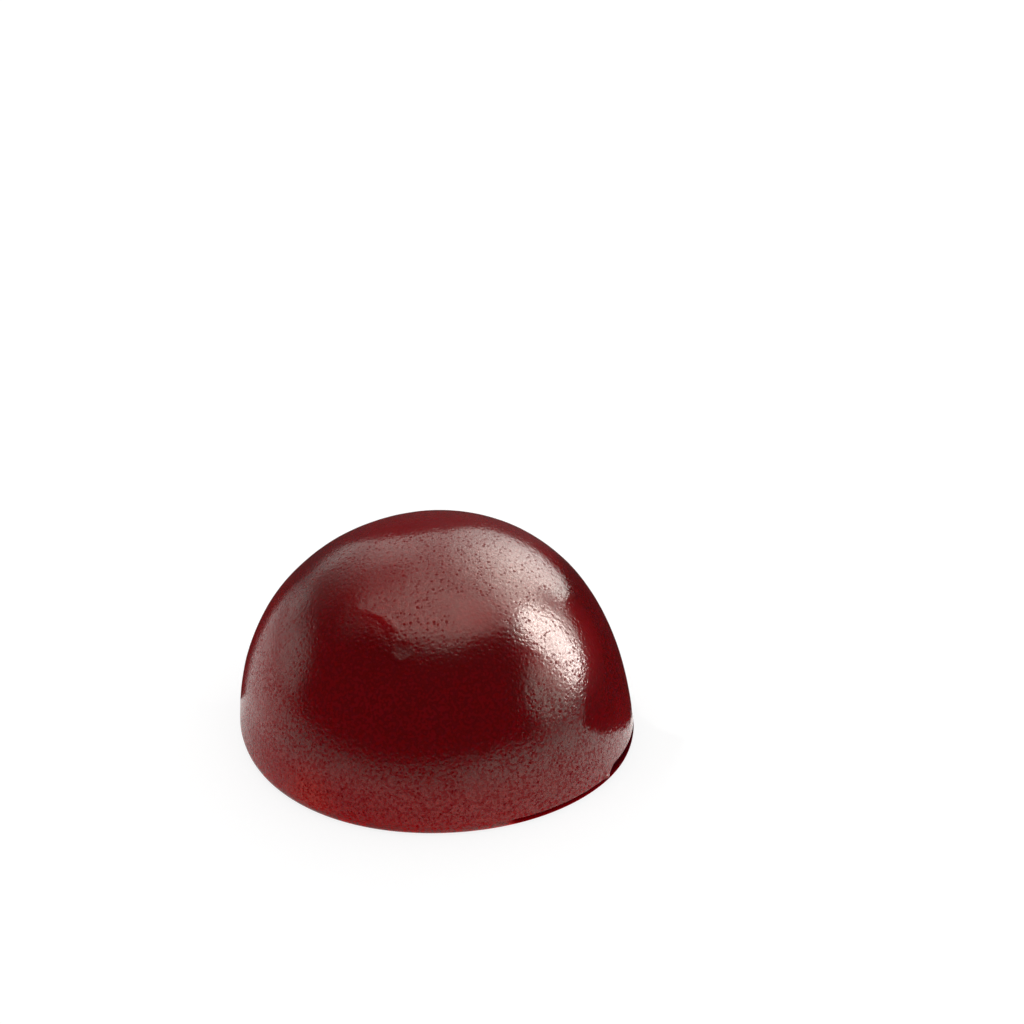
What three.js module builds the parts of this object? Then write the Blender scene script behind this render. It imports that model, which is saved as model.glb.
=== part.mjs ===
// A chewy candy: one dome-shaped wine-red gummy, cast round side down in a mould and turned out on
// its flat side.
//
// Millimetres, +Z up. The origin is the middle of the flat base, and -Y is the side shown to the eye.
// The dome is a lathe turning whose rings are then eased out of round, as a soft cast sweet is: it
// leans a little, its foot is slightly three-cornered, and its rim is crisp on the +X side, where it
// kept the mould's edge, and rounded off on the -X side.

import * as THREE from 'three';

const { degToRad, lerp, smoothstep } = THREE.MathUtils;

// --- Driving dimensions ---------------------------------------------------------------------------
const DIAMETER = 20; // across the foot, at the rim
const HEIGHT = 11.2; // flat base to the top of the dome

// The dome's upright section is (distance / radius)^2 + (height / HEIGHT)^WALL_FULLNESS = 1.
const WALL_FULLNESS = 2.25; // 2 is an ellipse, and more stands steeper on the rim

// The rim, where the wall ends and the underside tucks in to the flat base. CRISP is the +X side and
// SOFT the -X side.
const CRISP_RIM = { lift: 0.42, tuck: 0.16, crease: degToRad(35) };
const SOFT_RIM = { lift: 0.5, tuck: 0.3, crease: 0 };
const CRISP_MIDDLE = degToRad(-5); // direction of the crispest point, from +X

// How far the candy is out of round: each entry is a swelling with so many lobes round the dome, in
// millimetres, and the direction of one of them. FOOT fades out towards the top, and FLANK is for the
// middle of the wall.
const FOOT_LOBES = [
  { lobes: 2, amount: -0.2, towards: degToRad(39) },
  { lobes: 3, amount: 0.17, towards: 0 },
];
const FLANK_LOBES = [
  { lobes: 1, amount: -0.26, towards: 0 },
  { lobes: 2, amount: -0.15, towards: degToRad(26) },
];
const LEAN = 0.048; // millimetres towards +X for each millimetre of height

// --- Fineness of the facets -----------------------------------------------------------------------
const SEGMENTS = 96; // round the dome
const WALL_STEPS = 34; // rim to top
const UNDERSIDE_STEPS = 5; // rim to flat base
const BASE_STEPS = 2; // edge of the flat base to its middle

const RADIUS = DIAMETER / 2;

/** The rim at an angle round the dome: its height over the base, how far the underside tucks in, and
 *  the angle by which the surface breaks at its edge. */
function rimAt(angle) {
  const crispness = smoothstep(Math.cos(angle - CRISP_MIDDLE), -0.1, 0.7);
  return {
    lift: lerp(SOFT_RIM.lift, CRISP_RIM.lift, crispness),
    tuck: lerp(SOFT_RIM.tuck, CRISP_RIM.tuck, crispness),
    crease: lerp(SOFT_RIM.crease, CRISP_RIM.crease, crispness),
  };
}

/** The upright section at an angle, as points (distance from the axis, height) from the middle of the
 *  base, out under the rim and up the wall to the top. */
function sectionAt(angle) {
  const { lift, tuck, crease } = rimAt(angle);
  const firstTurn = Math.asin((lift / HEIGHT) ** (WALL_FULLNESS / 2));
  const rimRadius = RADIUS * Math.cos(firstTurn);
  const points = [];

  for (let step = 0; step < BASE_STEPS; step++) {
    points.push(new THREE.Vector2(((rimRadius - tuck) * step) / BASE_STEPS, 0));
  }
  for (let step = UNDERSIDE_STEPS; step > 0; step--) {
    const turn = lerp(crease, Math.PI / 2, step / UNDERSIDE_STEPS);
    const inward = (Math.cos(crease) - Math.cos(turn)) / Math.cos(crease);
    const downward = (Math.sin(turn) - Math.sin(crease)) / (1 - Math.sin(crease));
    points.push(new THREE.Vector2(rimRadius - tuck * inward, lift * (1 - downward)));
  }
  for (let step = 0; step < WALL_STEPS; step++) {
    const turn = lerp(firstTurn, Math.PI / 2, step / WALL_STEPS);
    const height = HEIGHT * Math.sin(turn) ** (2 / WALL_FULLNESS);
    points.push(new THREE.Vector2(RADIUS * Math.cos(turn), height));
  }
  points.push(new THREE.Vector2(0, HEIGHT));
  return points;
}

/** The sum of some swellings at an angle round the dome. */
function swelling(list, angle) {
  const each = list.map(({ lobes, amount, towards }) => amount * Math.cos(lobes * (angle - towards)));
  return each.reduce((sum, value) => sum + value, 0);
}

/** How many times as wide as its section the candy is, at an angle and a height. */
function outOfRound(angle, height) {
  const share = height / HEIGHT;
  const foot = swelling(FOOT_LOBES, angle) * (1 - share);
  const flank = swelling(FLANK_LOBES, angle) * 4 * share * (1 - share);
  return 1 + (foot + flank) / RADIUS;
}

/** The closed surface of the candy. */
function gummyDome() {
  // The lathe lays out the rings and their facets, and each point is then set where the candy has it.
  const geometry = new THREE.LatheGeometry(sectionAt(0), SEGMENTS);
  const position = geometry.getAttribute('position');
  let vertex = 0;
  for (let segment = 0; segment <= SEGMENTS; segment++) {
    const angle = (2 * Math.PI * segment) / SEGMENTS;
    for (const { x: distance, y: height } of sectionAt(angle)) {
      const radius = distance * outOfRound(angle, height);
      const across = radius * Math.cos(angle) + LEAN * height;
      position.setXYZ(vertex, across, radius * Math.sin(angle), height);
      vertex += 1;
    }
  }

  geometry.computeBoundingBox();
  const middle = geometry.boundingBox.getCenter(new THREE.Vector3());
  geometry.translate(-middle.x, -middle.y, 0);
  geometry.computeVertexNormals();
  return geometry;
}

// Dark, clear fruit jelly with a thin film of oil on its moulded skin.
const wineRedJelly = new THREE.MeshStandardMaterial({
  name: 'wine_red_jelly',
  color: '#5a0a12',
  roughness: 0.3,
  metalness: 0,
});

const candy = new THREE.Mesh(gummyDome(), wineRedJelly);
candy.name = 'gummy_dome';

const part = new THREE.Group();
part.name = 'chewy_candy';
part.add(candy);

export default part;
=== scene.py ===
"""A dome-shaped wine-red gummy on a pale table in soft studio light.

Lengths are in metres unless a name ends in MM or a comment says millimetres. The candy stands on
z = 0, and -Y is the side shown.
"""

import math

import bpy
import numpy as np
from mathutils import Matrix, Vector, noise


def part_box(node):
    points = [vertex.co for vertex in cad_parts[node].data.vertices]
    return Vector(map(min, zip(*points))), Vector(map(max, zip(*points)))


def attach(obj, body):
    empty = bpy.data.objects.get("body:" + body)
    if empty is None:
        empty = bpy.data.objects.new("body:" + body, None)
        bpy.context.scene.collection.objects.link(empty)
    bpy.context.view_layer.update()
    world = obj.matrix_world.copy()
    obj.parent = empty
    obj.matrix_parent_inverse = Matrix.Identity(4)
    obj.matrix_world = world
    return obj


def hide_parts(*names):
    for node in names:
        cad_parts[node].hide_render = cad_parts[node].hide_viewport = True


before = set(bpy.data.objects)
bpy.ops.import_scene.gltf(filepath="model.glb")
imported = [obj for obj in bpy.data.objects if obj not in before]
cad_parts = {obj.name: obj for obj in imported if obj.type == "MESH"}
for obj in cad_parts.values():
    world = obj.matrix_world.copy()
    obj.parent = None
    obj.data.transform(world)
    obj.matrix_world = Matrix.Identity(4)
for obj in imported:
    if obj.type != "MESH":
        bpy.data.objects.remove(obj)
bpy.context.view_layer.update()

MM = 0.001
CANDY = "gummy_dome"
SKIN = "candy_skin"

# --- Driving dimensions of the candy, in millimetres ----------------------------------------------
LOW, HIGH = (np.array(corner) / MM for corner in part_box(CANDY))
HEIGHT = HIGH[2]
RADIUS = 10.0  # of the foot, before it is eased out of round
WALL_FULLNESS = 2.25  # 2 is an ellipse, and more stands steeper on the rim

CRISP_RIM = {"lift": 0.42, "tuck": 0.16, "crease": math.radians(35)}  # the +X side
SOFT_RIM = {"lift": 0.50, "tuck": 0.30, "crease": 0.0}  # the -X side
CRISP_MIDDLE = math.radians(-5)  # direction of the crispest point, from +X
# The rim starts to turn crisp and is crisp at angles from there that have these cosines
CRISP_FROM, CRISP_FULL = -0.1, 0.7

# Swellings: lobes round the dome, amount, direction of one lobe
FOOT_LOBES = [(2, -0.20, math.radians(39)), (3, 0.17, 0.0)]
FLANK_LOBES = [(1, -0.26, 0.0), (2, -0.15, math.radians(26))]
LEAN = 0.048  # towards +X for each millimetre of height

# Slow unevenness of the skin: swells for each millimetre, where the pattern starts, and its height
UNEVENNESS = [(0.35, (0, 0, 0), 0.020), (0.9, (7, 3, 1), 0.006), (2.4, (1, 9, 4), 0.0026)]
UNEVEN_FROM, UNEVEN_FULL = 0.05, 0.6  # heights over the base

# Marks of the mould. Each fades out smoothly over its reach.
SEAM = [(-4.3, -3.5, 9.4), (-3.3, -4.2, 9.5), (-2.4, -4.8, 9.5), (-1.7, -5.9, 9.1)]
SEAM_HEIGHT = 0.035
SEAM_REACH_OVER, SEAM_REACH_UNDER = 0.12, 0.35
SEAM_END = 0.8  # over which it sinks at each end
FLAT = (-1.75, -6.55, 8.45)  # left by a bubble
FLAT_RADIUS = 0.6
FLAT_INNER, FLAT_OUTER = 0.7, 1.1  # shares of its radius where it starts to fade and ends
FLAT_TILT = math.radians(4)
BURR = (8.46, -5.36, 0.42)  # on the rim
BURR_HEIGHT, BURR_REACH = 0.13, 0.22
BURR_SQUASH = (1.0, 1.0, 1.6)  # it is lower than it is wide

# Fineness of the mesh
POINT_SPACING = 0.092  # between the points of the skin
BASE_SPACING = 0.5  # between the points in the middle of the flat base
UNDERSIDE_STEPS = 7  # rings from the rim to the flat base
WALL_MARKS = 4000  # places at which the way up the wall is measured

# --- The photograph's view ------------------------------------------------------------------------
PICTURE_PX = 1024
CANDY_AT_PX = (432.5, 727.5)  # where the middle of the foot shows
RADIUS_PX = 197.3  # how long the foot's radius shows there
FOOT = Vector((-0.142, -0.020, 0)) * MM  # its middle, a little off the middle of the box
ELEVATION = math.radians(32)
CAMERA_DISTANCE = 340 * MM
SENSOR_MM = 36.0

# The Mix node has sockets of the same name for each kind of value, so its colours go by number
MIX_FIRST, MIX_SECOND, MIX_RESULT = 6, 7, 2


# --- Camera ---------------------------------------------------------------------------------------
def make_camera():
    """The photograph's long lens: FOOT shows at CANDY_AT_PX, seen ELEVATION above the table."""
    pixels_per_metre = RADIUS_PX / (RADIUS * MM)
    towards = Vector((0, math.cos(ELEVATION), -math.sin(ELEVATION)))
    right, up = Vector((1, 0, 0)), Vector((0, math.sin(ELEVATION), math.cos(ELEVATION)))
    off_x = PICTURE_PX / 2 - CANDY_AT_PX[0]
    off_y = CANDY_AT_PX[1] - PICTURE_PX / 2
    aim = FOOT + (right * off_x + up * off_y) / pixels_per_metre

    data = bpy.data.cameras.new("camera")
    data.sensor_width = SENSOR_MM
    data.lens = pixels_per_metre * CAMERA_DISTANCE * SENSOR_MM / PICTURE_PX
    data.clip_start, data.clip_end = 0.01, 20
    camera = bpy.data.objects.new("camera", data)
    camera.location = FOOT - towards * CAMERA_DISTANCE
    camera.rotation_mode = "QUATERNION"
    camera.rotation_quaternion = (aim - camera.location).to_track_quat("-Z", "Y")
    bpy.context.collection.objects.link(camera)
    bpy.context.scene.camera = camera


# --- The candy's form, in millimetres -------------------------------------------------------------
def ease(low, high, value):
    """0 below low, 1 above high, and smooth between."""
    share = np.clip((value - low) / (high - low), 0, 1)
    return share * share * (3 - 2 * share)


def swelling(lobes, angle):
    """The sum of some swellings at an angle round the dome."""
    return sum(amount * np.cos(count * (angle - towards)) for count, amount, towards in lobes)


def candy_point(angle, distance, height):
    """A point of the section, distance from the axis, set where the soft candy has it."""
    share = height / HEIGHT
    foot = swelling(FOOT_LOBES, angle) * (1 - share)
    flank = swelling(FLANK_LOBES, angle) * 4 * share * (1 - share)
    radius, height = np.broadcast_arrays(distance * (1 + (foot + flank) / RADIUS), height)
    return np.stack([radius * np.cos(angle) + LEAN * height, radius * np.sin(angle), height], -1)


def ring_angles(distance, spacing):
    """Even steps round a ring that put its points about spacing apart."""
    count = max(6, round(2 * math.pi * distance / spacing))
    return np.arange(count) * (2 * math.pi / count)


def rim_at(angle):
    """The rim at an angle round the dome: its height over the base, how far the underside tucks in,
    and the angle by which the surface breaks at its edge."""
    crisp = ease(CRISP_FROM, CRISP_FULL, np.cos(angle - CRISP_MIDDLE))
    ends = zip(SOFT_RIM.values(), CRISP_RIM.values())
    return [soft + (hard - soft) * crisp for soft, hard in ends]


def first_turn(lift):
    """Where on its quarter turn the wall starts, when the rim is lift above the base."""
    return np.arcsin((lift / HEIGHT) ** (WALL_FULLNESS / 2))


def wall_points(angle, share):
    """Points a share of the way up the wall's turn."""
    lift, _, _ = rim_at(angle)
    start = first_turn(lift)
    turn = start + (math.pi / 2 - start) * share
    height = HEIGHT * np.sin(turn) ** (2 / WALL_FULLNESS)
    return candy_point(angle, RADIUS * np.cos(turn), height)


def base_rings():
    """Rings of points over the flat base, which are finer towards its edge."""
    rings = []
    inner = RADIUS - SOFT_RIM["tuck"]
    steps = round(inner / BASE_SPACING)
    for step in range(1, steps):
        finer = (step / steps) ** 4
        spacing = BASE_SPACING + (POINT_SPACING - BASE_SPACING) * finer
        distance = inner * step / steps
        rings.append(candy_point(ring_angles(distance, spacing), distance, 0.0))
    return rings


def underside_rings():
    """Rings of points from the edge of the flat base out to the rim."""
    rings = []
    angle = ring_angles(RADIUS, POINT_SPACING)
    lift, tuck, crease = rim_at(angle)
    rim_radius = RADIUS * np.cos(first_turn(lift))
    for step in range(UNDERSIDE_STEPS, 0, -1):
        turn = crease + (math.pi / 2 - crease) * step / UNDERSIDE_STEPS
        inward = (np.cos(crease) - np.cos(turn)) / np.cos(crease)
        downward = (np.sin(turn) - np.sin(crease)) / (1 - np.sin(crease))
        rings.append(candy_point(angle, rim_radius - tuck * inward, lift * (1 - downward)))
    return rings


def wall_rings():
    """Rings of points up the wall from the rim, POINT_SPACING apart."""
    rings = []
    shares = np.linspace(0, 1, WALL_MARKS)
    path = wall_points(math.pi / 2, shares)
    length = np.concatenate([[0], np.cumsum(np.linalg.norm(np.diff(path, axis=0), axis=1))])
    steps = round(length[-1] / POINT_SPACING)
    for share in np.interp(np.arange(steps) / steps * length[-1], length, shares):
        distance = RADIUS * math.cos(math.pi / 2 * share)
        rings.append(wall_points(ring_angles(distance, POINT_SPACING), share))
    return rings


def neighbours(run):
    """Each point of a ring with the next one round."""
    return zip(run, [*run[1:], run[0]])


def stitch(lower, upper):
    """Triangles between two rings of points, given as runs of indices that start at angle 0."""
    triangles = []
    i = j = 0
    while i < len(lower) or j < len(upper):
        a, b = lower[i % len(lower)], upper[j % len(upper)]
        if (i + 1) / len(lower) <= (j + 1) / len(upper):
            i += 1
            triangles.append((a, lower[i % len(lower)], b))
        else:
            j += 1
            triangles.append((a, upper[j % len(upper)], b))
    return triangles


def smooth_surface():
    """The candy as a closed mesh in metres, fitted to the solid's box, with no marks yet."""
    rings = base_rings() + underside_rings() + wall_rings()
    base, top = (candy_point(np.zeros(1), 0.0, height) for height in (0.0, HEIGHT))
    points = np.concatenate([base, *rings, top])
    for axis in (0, 1):
        low, high = points[:, axis].min(), points[:, axis].max()
        stretched = (points[:, axis] - low) * (HIGH[axis] - LOW[axis]) / (high - low)
        points[:, axis] = LOW[axis] + stretched

    starts = np.cumsum([1] + [len(ring) for ring in rings])
    runs = [range(start, start + len(ring)) for start, ring in zip(starts, rings)]
    triangles = [(0, after, before) for before, after in neighbours(runs[0])]
    for lower, upper in zip(runs, runs[1:]):
        triangles += stitch(lower, upper)
    triangles += [(before, after, len(points) - 1) for before, after in neighbours(runs[-1])]

    mesh = bpy.data.meshes.new(SKIN)
    mesh.from_pydata((points * MM).tolist(), [], triangles)
    mesh.update()
    mesh.shade_smooth()
    return mesh


def unevenness(point):
    """Height of the slow unevenness at a point."""
    return sum(noise.noise(Vector(point) * often + Vector(offset)) * height
               for often, offset, height in UNEVENNESS)


def seam_height(points):
    """Height of the low seam at some points. It is steeper on its upper side."""
    height = np.zeros(len(points))
    nodes = np.array(SEAM)
    for start, end in zip(nodes, nodes[1:]):
        run = end - start
        along = np.clip((points - start) @ run / (run @ run), 0, 1)
        nearest = start + along[:, None] * run
        away = np.linalg.norm(points - nearest, axis=1)
        reach = np.where(points[:, 2] > nearest[:, 2], SEAM_REACH_OVER, SEAM_REACH_UNDER)
        height = np.maximum(height, SEAM_HEIGHT * np.exp(-(away / reach) ** 2))
    to_ends = np.linalg.norm(points[:, None] - nodes[[0, -1]], axis=2).min(axis=1)
    return height * ease(0.0, SEAM_END, to_ends)


def flat_height(points, normals):
    """How far each point moves along its normal to lie in the flat."""
    away = np.linalg.norm(points - FLAT, axis=1)
    nearest = np.argmin(away)
    upright = Vector((0, 0, 1))
    facing = np.array(Vector(normals[nearest]).lerp(upright, math.sin(FLAT_TILT)).normalized())
    along = np.maximum(normals @ facing, 0.2)  # the least value keeps the candy's far side finite
    gap = (points[nearest] - points) @ facing / along
    return gap * (1 - ease(FLAT_INNER * FLAT_RADIUS, FLAT_OUTER * FLAT_RADIUS, away))


def burr_height(points):
    """Height of the small burr on the rim at some points."""
    away = np.linalg.norm((points - BURR) * BURR_SQUASH, axis=1)
    return BURR_HEIGHT * np.exp(-(away / BURR_REACH) ** 2)


def make_candy():
    """The candy, which stands for the plain solid."""
    mesh = smooth_surface()
    points, normals = np.empty(len(mesh.vertices) * 3), np.empty(len(mesh.vertices) * 3)
    mesh.vertices.foreach_get("co", points)
    mesh.vertices.foreach_get("normal", normals)
    points, normals = points.reshape(-1, 3) / MM, normals.reshape(-1, 3)
    height = np.array([unevenness(point) for point in points.tolist()])
    height *= ease(UNEVEN_FROM, UNEVEN_FULL, points[:, 2])
    height += seam_height(points) + flat_height(points, normals) + burr_height(points)
    points += normals * height[:, None]
    mesh.vertices.foreach_set("co", (points * MM).ravel())
    mesh.update()
    mesh.materials.append(fruit_jelly())

    candy = bpy.data.objects.new(SKIN, mesh)
    bpy.context.collection.objects.link(candy)
    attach(candy, "root")
    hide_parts(CANDY)


# --- Materials ------------------------------------------------------------------------------------
def linear(hex_colour):
    """An sRGB hex colour as the linear RGBA that shaders take."""
    channels = [int(hex_colour[i:i + 2], 16) / 255 for i in (1, 3, 5)]
    return *[c / 12.92 if c <= 0.04045 else ((c + 0.055) / 1.055) ** 2.4 for c in channels], 1.0


def empty_tree(owner):
    """The node tree of a new material or world, with no nodes yet."""
    owner.use_nodes = True
    owner.node_tree.nodes.clear()
    return owner.node_tree


def add_node(tree, kind, inputs=None, output=0, **settings):
    """Adds a node with its settings, gives each of some inputs a value or a link, and returns one
    of the node's outputs."""
    made = tree.nodes.new(kind)
    for name, value in settings.items():
        setattr(made, name, value)
    for name, value in (inputs or {}).items():
        if isinstance(value, bpy.types.NodeSocket):
            tree.links.new(value, made.inputs[name])
        else:
            made.inputs[name].default_value = value
    return made.outputs[output] if made.outputs else None


def fruit_jelly():
    """Fruit jelly, cast in a mould and tumbled with a little oil. It is dark and clear with a soft
    gloss. Painted light makes it redder where more light would come through, with an orange painted
    caustic low on the left. Its skin is pricked with matt pinholes and stippled, and these are
    darkened with painted shade. Painted shade also darkens the brink of the foot, the tuck under
    the crisp rim, and where it meets the table."""
    material = bpy.data.materials.new("fruit_jelly")
    tree = empty_tree(material)
    place = add_node(tree, "ShaderNodeTexCoord", output="Object")
    place = add_node(tree, "ShaderNodeVectorMath", {0: place, "Scale": 1 / MM}, operation="SCALE")
    x, y, z = (add_node(tree, "ShaderNodeSeparateXYZ", {0: place}, axis) for axis in "XYZ")

    # Patterns, by the size of one cell in millimetres. The finest are drawn a little coarser than
    # the real ones, so that they show.
    share = {"z": z}
    for name, kind, size_mm, more in [
        ("pinholes", "ShaderNodeTexVoronoi", 0.24, {"Randomness": 0.9}),
        ("wide_pinholes", "ShaderNodeTexVoronoi", 0.52, {}),
        ("patches", "ShaderNodeTexNoise", 2.2, {"Detail": 1.0}),
        ("ripple", "ShaderNodeTexNoise", 0.2, {"Detail": 1.0}),
        ("stipple", "ShaderNodeTexNoise", 0.16, {"Detail": 0.0}),
    ]:
        share[name] = add_node(tree, kind, {"Vector": place, "Scale": 1 / size_mm, **more})

    # Spots on the skin, in millimetres. The last two are the middles of painted light.
    away = {}
    for name, spot_mm in [
        ("flat", FLAT), ("smooth_crown", (1.94, -5.07, 9.68)), ("smooth_seam", (-4.5, -2.8, 9.6)),
        ("window_side", (6.0, -4.0, 7.6)), ("painted_caustic", (-6.2, -7.6, 0.9)),
    ]:
        away[name] = add_node(tree, "ShaderNodeVectorMath", {0: place, 1: spot_mm}, "Value",
                              operation="DISTANCE")

    # Each share eases from one value to another as its measure goes from one reading to another.
    # Places and distances read in millimetres.
    for name, measure, low, high, at_low, at_high in [
        # Pinholes, and where the skin is smoother
        ("pinholes", share["pinholes"], 0.12, 0.44, 1.0, 0.0),
        ("wide_pinholes", share["wide_pinholes"], 0.10, 0.22, 1.0, 0.0),
        ("patches", share["patches"], 0.32, 0.50, 0.75, 1.0),
        ("flat", away["flat"], 0.465, 0.744, 0.1, 1.0),
        ("smooth_crown", away["smooth_crown"], 0.825, 1.32, 0.1, 1.0),
        ("smooth_seam", away["smooth_seam"], 0.525, 0.84, 0.1, 1.0),
        # Stipple, most of all low down
        ("stipple", share["stipple"], 0.33, 0.67, 0.75, 0.0),
        ("low_down", z, 5.0, 9.0, 0.95, 0.5),
        # Painted light: redder at the foot, the crown and the sides, where more light would come
        # through
        ("foot", z, 1.6, 4.0, 0.8, 0.0),
        ("foot_side", x, 2.0, 7.0, 1.0, 0.6),
        ("crown", z, 8.5, 9.6, 0.0, 0.8),
        ("crown_side", x, -5.5, -2.5, 0.2, 1.0),
        ("far_side", x, -9.2, -6.4, 0.8, 0.0),
        ("window_side", away["window_side"], 1.8, 3.6, 0.8, 0.0),
        # A painted caustic: orange light as if focused through the candy onto the lower left of its
        # foot
        ("painted_caustic", away["painted_caustic"], 0.2, 2.2, 0.75, 0.0),
        # Painted shade, as if less light came through, at the brink of the foot, and a darker
        # painted contact shadow where it meets the table
        ("painted_foot_shade", z, 0.0, 0.75, 0.8, 0.0),
        ("painted_contact_shadow", z, 0.05, 0.2, 0.85, 0.0),
        # The upper edge of the painted shade in the tuck under the crisp rim, which is higher at
        # the side
        ("tuck_edge", y, -5.3, -4.6, 0.40, 0.76),
        ("crisp_side", x, 2.6, 4.0, 0.0, 1.0),
    ]:
        share[name] = add_node(tree, "ShaderNodeMapRange", {
            "Value": measure, "From Min": low, "From Max": high, "To Min": at_low,
            "To Max": at_high}, interpolation_type="SMOOTHSTEP")

    for name, first, operation, second in [
        ("pitted", "patches", "MULTIPLY", "flat"),
        ("pitted", "pitted", "MULTIPLY", "smooth_crown"),
        ("pitted", "pitted", "MULTIPLY", "smooth_seam"),
        ("pits", "pinholes", "MAXIMUM", "wide_pinholes"),
        ("pits", "pits", "MULTIPLY", "pitted"),
        ("sunk", "pits", "MULTIPLY", -0.4),
        ("relief", "ripple", "MULTIPLY", 0.95),
        ("relief", "relief", "ADD", "sunk"),
        ("stipple", "stipple", "MULTIPLY", "low_down"),
        ("stipple", "stipple", "MULTIPLY", "pitted"),
        ("matt", "pits", "MULTIPLY", 0.9),
        ("matt", "matt", "MAXIMUM", "stipple"),
        # Painted shade: the matt pinholes and stipple are also darkened in colour
        ("dark", "matt", "POWER", 0.5),
        # Painted light, gathered from its places
        ("painted_light", "foot", "MULTIPLY", "foot_side"),
        ("crown", "crown", "MULTIPLY", "crown_side"),
        ("painted_light", "painted_light", "MAXIMUM", "crown"),
        ("painted_light", "painted_light", "MAXIMUM", "far_side"),
        ("painted_light", "painted_light", "MAXIMUM", "window_side"),
        # Painted shade in the tuck under the crisp rim and at the contact with the table, which
        # also dulls the skin there
        ("over_tuck", "z", "SUBTRACT", "tuck_edge"),
        ("under", "over_tuck", "LESS_THAN", -0.01),
        ("tuck", "under", "MULTIPLY", "crisp_side"),
        ("tuck", "tuck", "MAXIMUM", "painted_contact_shadow"),
        ("matt_and_painted_shade", "matt", "MAXIMUM", "tuck"),
    ]:
        share[name] = add_node(tree, "ShaderNodeMath", {
            0: share[first], 1: share.get(second, second)}, operation=operation)

    # The jelly's own red, then two colours of painted light and three of painted shade
    colour = linear("#990513")
    for name, hex_colour in [
        ("painted_light", "#e00b1e"), ("painted_caustic", "#fc2406"), ("painted_foot_shade", "#4c0409"), ("dark", "#5a050a"),
        ("tuck", "#1f0104"),
    ]:
        colour = add_node(tree, "ShaderNodeMix", {
            "Factor": share[name], MIX_FIRST: colour, MIX_SECOND: linear(hex_colour)},
            MIX_RESULT, data_type="RGBA")

    # The oiled skin mirrors and lets light in. Its matt spots do neither, and neither does the
    # painted shade in the tuck and at the contact with the table, which keeps gleams out of it
    gloss, clear = (
        add_node(tree, "ShaderNodeMapRange", {
            "Value": share["matt_and_painted_shade"], "To Min": most, "To Max": 0.0},
            interpolation_type="SMOOTHSTEP")
        for most in (0.5, 0.72))
    bump = add_node(tree, "ShaderNodeBump", {
        "Height": share["relief"], "Strength": 1.0, "Distance": 0.0125 * MM})

    # The IOR is that of the oil. Red light spreads for millimetres inside, and other light hardly.
    skin = add_node(tree, "ShaderNodeBsdfPrincipled", {
        "Base Color": colour,
        "Roughness": 0.16,
        "IOR": 1.46,
        "Specular IOR Level": gloss,
        "Specular Tint": (1.0, 0.87, 0.79, 1),
        "Subsurface Weight": 1.0,
        "Subsurface Radius": (1.0, 0.02, 0.02),
        "Subsurface Scale": 4 * MM,
        "Transmission Weight": clear,
        "Normal": bump,
    })
    depth = add_node(tree, "ShaderNodeVolumeAbsorption", {
        "Color": (0.94, 0.0, 0.06, 1), "Density": 2500.0})
    add_node(tree, "ShaderNodeOutputMaterial", {"Surface": skin, "Volume": depth})
    return material


def white_paper():
    """White paper. Gleams see a painted pool of light on it on the window's side, and a painted
    shadow close by on the other."""
    material = bpy.data.materials.new("white_paper")
    tree = empty_tree(material)
    white = add_node(tree, "ShaderNodeBsdfPrincipled", {
        "Base Color": (0.2, 0.2, 0.2, 1),
        "Roughness": 0.6,
        "Specular IOR Level": 0.1,
        "Emission Color": (1, 1, 1, 1),
        "Emission Strength": 0.82,
    })
    # Painted light for gleams: the paper glows brighter towards the window's side
    place = add_node(tree, "ShaderNodeTexCoord", output="Object")
    place = add_node(tree, "ShaderNodeVectorMath", {0: place, "Scale": 1 / MM}, operation="SCALE")
    across = add_node(tree, "ShaderNodeSeparateXYZ", {0: place}, "X")
    glow = add_node(tree, "ShaderNodeMapRange", {
        "Value": across, "From Min": 0.0, "From Max": 16.0, "To Min": 0.96, "To Max": 1.64},
        interpolation_type="SMOOTHSTEP")

    # Round patches of painted shadow and painted light, seen only in gleams: the middle, two
    # distances from it, and the share of the glow at each
    for middle_mm, near_mm, far_mm, at_near, at_far in [
        ((-6, -5, 0), 5, 11, 0.55, 1.0),
        ((0, 0, 0), 20, 80, 1.0, 0.42),
        ((-110, 44, 0), 60, 85, 1.9, 1.0),
    ]:
        away = add_node(tree, "ShaderNodeVectorMath", {0: place, 1: middle_mm}, "Value",
                        operation="DISTANCE")
        share = add_node(tree, "ShaderNodeMapRange", {
            "Value": away, "From Min": near_mm, "From Max": far_mm, "To Min": at_near,
            "To Max": at_far}, interpolation_type="SMOOTHSTEP")
        glow = add_node(tree, "ShaderNodeMath", {0: glow, 1: share}, operation="MULTIPLY")

    gleam = add_node(tree, "ShaderNodeEmission", {"Color": (1, 0.98, 0.95, 1), "Strength": glow})
    in_gleam = add_node(tree, "ShaderNodeLightPath", output="Is Glossy Ray")
    either = add_node(tree, "ShaderNodeMixShader", {0: in_gleam, 1: white, 2: gleam})
    add_node(tree, "ShaderNodeOutputMaterial", {"Surface": either})
    return material


def black_card():
    """Black card with a dark red nap, and a painted glow along its top edge that stands for a
    little light caught there.
    """
    material = bpy.data.materials.new("black_card")
    tree = empty_tree(material)
    # Painted light: the top edge glows
    edge = add_node(tree, "ShaderNodeAttribute", output="Fac", attribute_name="painted_edge_glow")
    edge = add_node(tree, "ShaderNodeMath", {0: edge, 1: 2.0}, operation="POWER")
    edge = add_node(tree, "ShaderNodeMath", {0: edge, 1: 4.0}, operation="MULTIPLY")
    nap = add_node(tree, "ShaderNodeBsdfPrincipled", {
        "Base Color": (0.10, 0.02, 0.02, 1),
        "Roughness": 1.0,
        "Emission Color": (1, 0.9, 0.9, 1),
        "Emission Strength": edge,
    })
    add_node(tree, "ShaderNodeOutputMaterial", {"Surface": nap})
    return material


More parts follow.
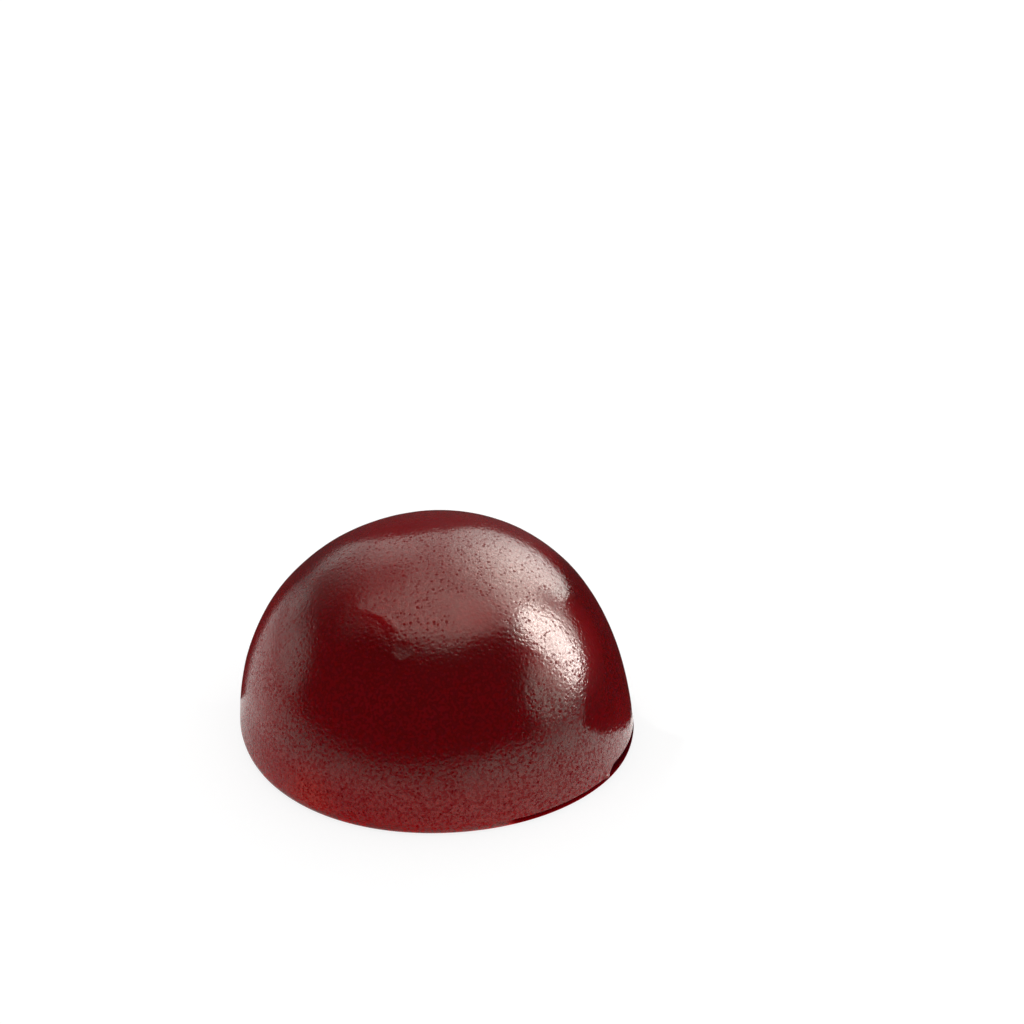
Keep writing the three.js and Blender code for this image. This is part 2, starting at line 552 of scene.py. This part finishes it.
# --- Studio ---------------------------------------------------------------------------------------
def make_table():
    """A wide sheet of white paper, just clear of the candy's base."""
    mesh = bpy.data.meshes.new("table")
    half, below = 4.0, -0.02 * MM
    corners = [(-half, -half), (half, -half), (half, half), (-half, half)]
    mesh.from_pydata([(x, y, below) for x, y in corners], [], [(0, 1, 2, 3)])
    mesh.materials.append(white_paper())
    table = bpy.data.objects.new("table", mesh)
    bpy.context.collection.objects.link(table)


def direction(azimuth, elevation):
    """Azimuth in degrees from +Y towards +X, elevation above the table."""
    a, e = math.radians(azimuth), math.radians(elevation)
    return Vector((math.sin(a) * math.cos(e), math.cos(a) * math.cos(e), math.sin(e)))


def make_softbox(name, azimuth, elevation, width, height, radiance):
    """A soft light that shows only as a gleam: width by height degrees of the candy's sky at a
    given radiance."""
    distance = 0.6
    data = bpy.data.lights.new(name, "AREA")
    data.shape = "RECTANGLE"
    data.size = 2 * distance * math.tan(math.radians(width / 2))
    data.size_y = 2 * distance * math.tan(math.radians(height / 2))
    data.energy = radiance * math.pi * data.size * data.size_y
    lamp = bpy.data.objects.new(name, data)
    away = direction(azimuth, elevation)
    lamp.location = away * distance
    lamp.rotation_mode = "QUATERNION"
    lamp.rotation_quaternion = away.to_track_quat("Z", "Y")
    lamp.visible_camera = lamp.visible_diffuse = lamp.visible_transmission = False
    bpy.context.collection.objects.link(lamp)


def make_world():
    """The room. Diffuse light is even from all sides, gleams show a dark room with a white sweep at
    the back that is brighter to the right, and the camera sees plain pale paper."""
    world = bpy.data.worlds.new("studio")
    tree = empty_tree(world)
    towards = add_node(tree, "ShaderNodeTexCoord", output="Generated")

    # Patches of the room: the middle's azimuth and elevation, two angles from it, value at each
    light = {}
    for name, azimuth, elevation, near, far, at_near, at_far in [
        # A white cap overhead, brightest at the top
        ("cap", 10, 69, 36, 44, 1.65, 0.0),
        ("zenith", 0, 90, 8, 34, 1.1, 0.0),
        # A window at the right of the back and its glow, which are only in the half ahead
        ("window", 48, 34, 6, 42, 7.7, 0.0),
        ("glow", 48, 36, 48, 80, 1.9, 0.0),
        ("ahead", 9, 0, 83.1, 92.9, 1.0, 0.0),
        # Where the window's post has ended, and a shaded place at the left
        ("above_post", 0, 90, 51.7, 63.3, 1.0, 0.0),
        ("shaded", -42, 46, 6, 16, 0.55, 1.0),
        # Pale things at the sides
        ("left", -67, 3, 10, 22, 1.12, 0.0),
        ("left_back", -46, 0, 8, 20, 0.9, 0.0),
        ("left_above", -42, 22, 6, 26, 0.15, 0.0),
        ("left_top", -70, 47, 5, 16, 0.25, 0.0),
        ("right", 102, 15, 8, 22, 3.0, 0.0),
        ("slit", -25, 8, 4, 9, 0.5, 0.0),
    ]:
        cosine = add_node(tree, "ShaderNodeVectorMath", {
            0: towards, 1: direction(azimuth, elevation)}, "Value", operation="DOT_PRODUCT")
        angle = add_node(tree, "ShaderNodeMath", {0: cosine}, operation="ARCCOSINE")
        light[name] = add_node(tree, "ShaderNodeMapRange", {
            "Value": angle, "From Min": math.radians(near), "From Max": math.radians(far),
            "To Min": at_near, "To Max": at_far}, interpolation_type="SMOOTHSTEP")

    # The window's post is a dark upright strip that ends below the cap
    off_post = add_node(tree, "ShaderNodeVectorMath", {0: towards, 1: direction(146, 0)}, "Value",
                        operation="DOT_PRODUCT")
    off_post = add_node(tree, "ShaderNodeMath", {0: off_post}, operation="ABSOLUTE")
    light["off_post"] = add_node(tree, "ShaderNodeMapRange", {
        "Value": off_post, "From Min": 0.03, "From Max": 0.15, "To Min": 0.25, "To Max": 1.0},
        interpolation_type="SMOOTHSTEP")

    # What the patches make together, in a room that is otherwise nearly black
    for name, first, operation, second in [
        ("glow", "glow", "MULTIPLY", "ahead"),
        ("window", "window", "MULTIPLY", "ahead"),
        ("room", "cap", "MAXIMUM", "glow"),
        ("room", "room", "ADD", "window"),
        ("room", "room", "ADD", "zenith"),
        ("room", "room", "MULTIPLY", "shaded"),
        ("off_post", "off_post", "MAXIMUM", "above_post"),
        ("room", "room", "MULTIPLY", "off_post"),
        ("sides", "left", "MAXIMUM", "left_back"),
        ("sides", "sides", "MAXIMUM", "left_above"),
        ("sides", "sides", "MAXIMUM", "left_top"),
        ("sides", "sides", "MAXIMUM", "right"),
        ("sides", "sides", "ADD", "slit"),
        ("room", "room", "ADD", "sides"),
        ("room", "room", "ADD", 0.015),
    ]:
        light[name] = add_node(tree, "ShaderNodeMath", {
            0: light[first], 1: light.get(second, second)}, operation=operation)

    room, even, paper = (
        add_node(tree, "ShaderNodeBackground", {"Color": colour, "Strength": strength})
        for colour, strength in [
            ((1, 0.98, 0.94, 1), light["room"]), ((1, 1, 1, 1), 0.9), ((1, 1, 1, 1), 1.0)])
    in_gleam, in_camera = (
        add_node(tree, "ShaderNodeLightPath", output=ray)
        for ray in ("Is Glossy Ray", "Is Camera Ray"))
    behind = add_node(tree, "ShaderNodeMixShader", {0: in_gleam, 1: even, 2: room})
    behind = add_node(tree, "ShaderNodeMixShader", {0: in_camera, 1: behind, 2: paper})
    add_node(tree, "ShaderNodeOutputWorld", {"Surface": behind})
    bpy.context.scene.world = world


def make_black_card():
    """A curved black card that stands round the back of the candy and shows only in its gleams.
    Its foot stands closer in than its top, except at the right end, where it rises off the
    table."""
    radius = 12.6 * MM
    azimuths, heights_mm = zip(*[
        (-75, 0.3), (-70, 2.8), (-66, 4.5), (-60, 6.5), (-52, 8.5), (-44, 9.3), (-36, 10.0),
        (-28, 13.5), (-20, 16.0), (-12, 17.0), (4, 16.6), (12, 15.1), (20, 13.5), (28, 12.5),
        (44, 11.2), (60, 9.8), (68, 9.8), (76, 11.0), (84, 10.4), (92, 8.8), (100, 7.1), (108, 5.9),
        (113, 4.8), (119, 3.2)])
    points, faces, painted_edge_glow = [], [], []
    for step, azimuth in enumerate(range(azimuths[0], azimuths[-1] + 1)):
        away = direction(azimuth, 0)
        foot = away * np.interp(azimuth, [84, 91, 95], [10.4, 11.2, 12.6]) * MM
        low = np.interp(azimuth, [95, 100, 109, 115, 119], [0.0, 0.45, 1.5, 2.4, 3.3]) * MM
        top = np.interp(azimuth, azimuths, heights_mm) * MM
        points += [(foot.x, foot.y, low), (away.x * radius, away.y * radius, top)]
        # A painted glow along the top edge, strongest at the back
        painted_edge_glow += [0.0, np.interp(azimuth, [-60, -30, 0, 35, 60], [0.0, 0.12, 0.2, 0.2, 0.0])]
        if step:
            faces.append((2 * step - 2, 2 * step, 2 * step + 1, 2 * step - 1))
    mesh = bpy.data.meshes.new("black_card")
    mesh.from_pydata(points, [], faces)
    mesh.attributes.new("painted_edge_glow", "FLOAT", "POINT").data.foreach_set("value", painted_edge_glow)
    mesh.materials.append(black_card())
    card = bpy.data.objects.new("black_card", mesh)
    card.visible_camera = card.visible_diffuse = card.visible_transmission = False
    card.visible_shadow = False
    bpy.context.collection.objects.link(card)


make_camera()
make_candy()
make_table()
make_softbox("key", azimuth=80, elevation=26, width=19, height=43, radiance=18.5)
make_black_card()
make_world()
bpy.context.scene.view_settings.view_transform = "Standard"
